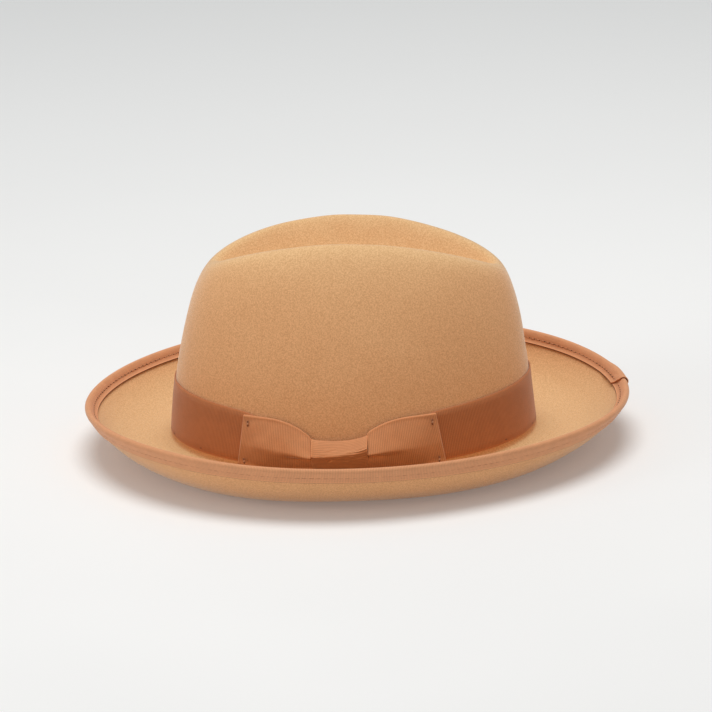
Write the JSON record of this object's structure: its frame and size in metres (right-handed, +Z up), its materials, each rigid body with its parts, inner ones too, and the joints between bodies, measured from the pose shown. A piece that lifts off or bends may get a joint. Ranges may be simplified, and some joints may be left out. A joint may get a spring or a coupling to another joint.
{
  "type": "felt hat",
  "caption": "Felt dress hat with a pinched oval crown, a ribbed ribbon band with a flat bow, and a rolled brim bound in ribbon.",
  "frame": {"origin": "bottom centre of the hat's box; the hat stands on the underside of its brim", "axes": "+Z up through the crown, +Y towards the back of the head, +X towards the wearer's left, where the bow is"},
  "size_m": [0.2924, 0.3094, 0.1236],
  "materials": {
    "felt": "fine short-napped fur felt, matt",
    "band_ribbon": "ribbed grosgrain ribbon, dull sheen",
    "bow_ribbon": "ribbed grosgrain ribbon, dull sheen",
    "binding_ribbon": "ribbed grosgrain ribbon, dull sheen",
    "binding_thread": "twisted sewing thread",
    "ribbon_thread": "twisted sewing thread",
    "pale_thread": "twisted sewing thread",
    "sweatband_leather": "smooth grained roan leather",
    "reed_plastic": "extruded plastic",
    "tape_cloth": "plain woven cotton tape",
    "inner_ribbon": "narrow ribbed ribbon",
    "tab_cloth": "plain woven cotton",
    "lining_satin": "satin weave, soft sheen",
    "piping_cloth": "bias-cut satin over a cord"
  },
  "bodies": {
    "root": {"felt_body": "felt", "hat_band": "band_ribbon", "band_stitches": "ribbon_thread", "bow_loop_front": "bow_ribbon", "bow_loop_back": "bow_ribbon", "bow_knot": "bow_ribbon", "bow_tacks": "ribbon_thread", "brim_binding": "binding_ribbon", "binding_stitches_top": "binding_thread", "binding_stitches_under": "binding_thread", "sweatband": "sweatband_leather", "sweatband_reed": "reed_plastic", "reed_tape": "tape_cloth", "sweatband_stitches": "pale_thread", "crown_seam_stitches": "pale_thread", "sweatband_bow": "inner_ribbon", "sweatband_bow_knot": "inner_ribbon", "size_tab": "tab_cloth", "lining_side": "lining_satin", "lining_tip": "lining_satin", "lining_piping": "piping_cloth", "lining_hem_stitches": "pale_thread"}
  },
  "joints": []
}
